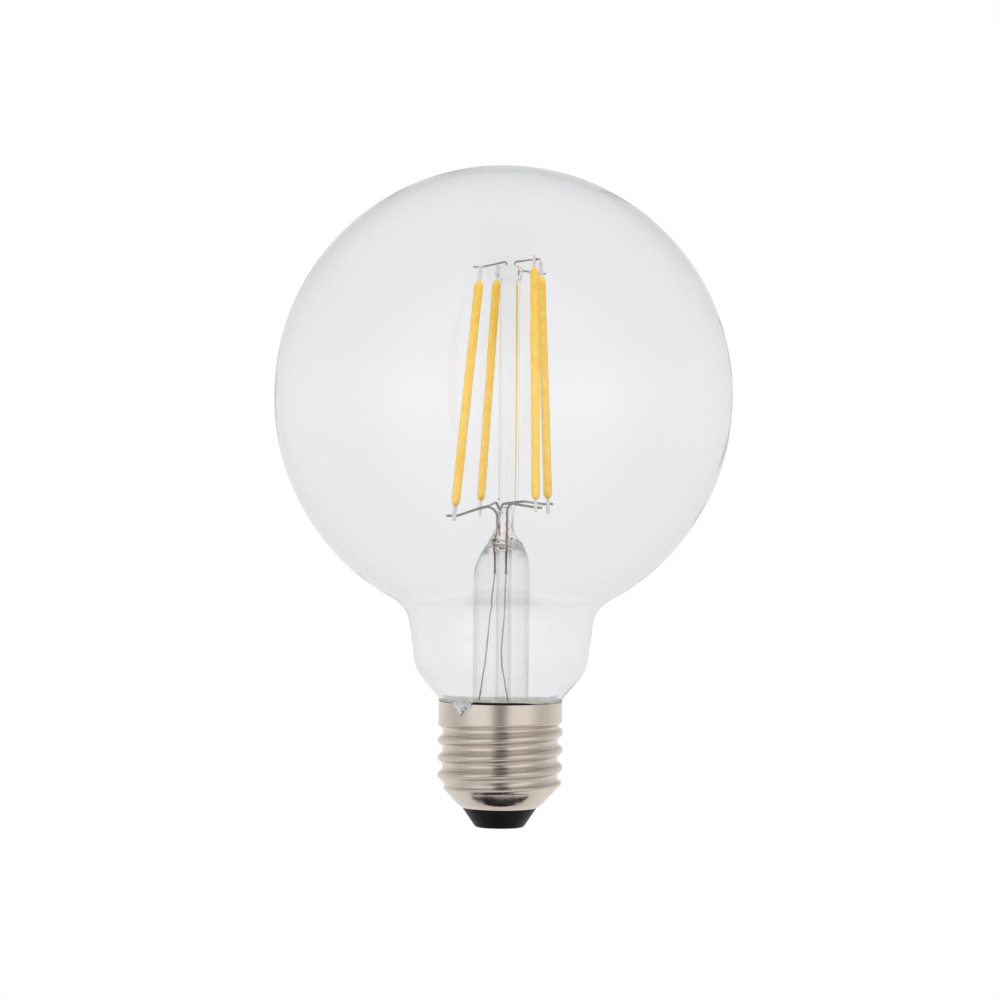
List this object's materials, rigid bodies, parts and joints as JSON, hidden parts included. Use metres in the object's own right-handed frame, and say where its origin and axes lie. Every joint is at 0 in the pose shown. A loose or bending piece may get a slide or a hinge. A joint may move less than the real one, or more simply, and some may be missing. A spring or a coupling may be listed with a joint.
{
  "type": "globe light bulb",
  "caption": "Clear glass globe lamp with LED filament sticks hung on a glass stem, closed by a plated screw cap that feeds it from a mains lampholder.",
  "frame": {"origin": "Centre of the outer face of the centre contact, on the lamp axis", "axes": "+Z along the lamp axis from the contact to the crown of the globe, -Y to the front with the side solder on its left, +X to the right seen from the front"},
  "size_m": [0.095, 0.095, 0.1375],
  "materials": {
    "globe_glass": "clear blown soda glass",
    "stem_glass": "clear drawn glass",
    "plated_shell": "rolled sheet, nickel plated",
    "black_glass": "gloss black",
    "contact_brass": "plain",
    "solder": "bright tin",
    "cement": "rough",
    "lead_wire": "drawn wire",
    "dumet": "oxidised copper coat",
    "nickel_wire": "drawn nickel wire",
    "phosphor": "matt coated silicone",
    "tab_metal": "plated strip",
    "board": "laminate",
    "chip": "moulded black",
    "can": "drawn can",
    "resistor": "lacquered"
  },
  "bodies": {
    "root": {"globe": "globe_glass", "screw_shell": "plated_shell", "insulator": "black_glass", "centre_contact": "contact_brass", "contact_solder": "solder", "side_solder": "solder", "cement_ring": "cement", "neutral_lead": "lead_wire", "live_lead": "lead_wire", "outer_lead_left": "lead_wire", "outer_lead_right": "lead_wire", "dumet_left": "dumet", "dumet_right": "dumet", "inner_lead_left": "nickel_wire", "inner_lead_right": "nickel_wire", "branch_wire_left": "nickel_wire", "branch_wire_right": "nickel_wire", "top_link_front": "nickel_wire", "top_link_rear": "nickel_wire", "filament_front_left": "phosphor", "filament_rear_left": "phosphor", "filament_front_right": "phosphor", "filament_rear_right": "phosphor", "foot_tab_front_left": "tab_metal", "foot_tab_rear_left": "tab_metal", "foot_tab_front_right": "tab_metal", "foot_tab_rear_right": "tab_metal", "head_tab_front_left": "tab_metal", "head_tab_rear_left": "tab_metal", "head_tab_front_right": "tab_metal", "head_tab_rear_right": "tab_metal", "stem_flare": "stem_glass", "exhaust_tube": "stem_glass", "pillar": "stem_glass", "driver_board": "board", "bridge_rectifier": "chip", "driver_chip": "chip", "capacitor": "can", "fuse_resistor": "resistor"}
  },
  "joints": []
}
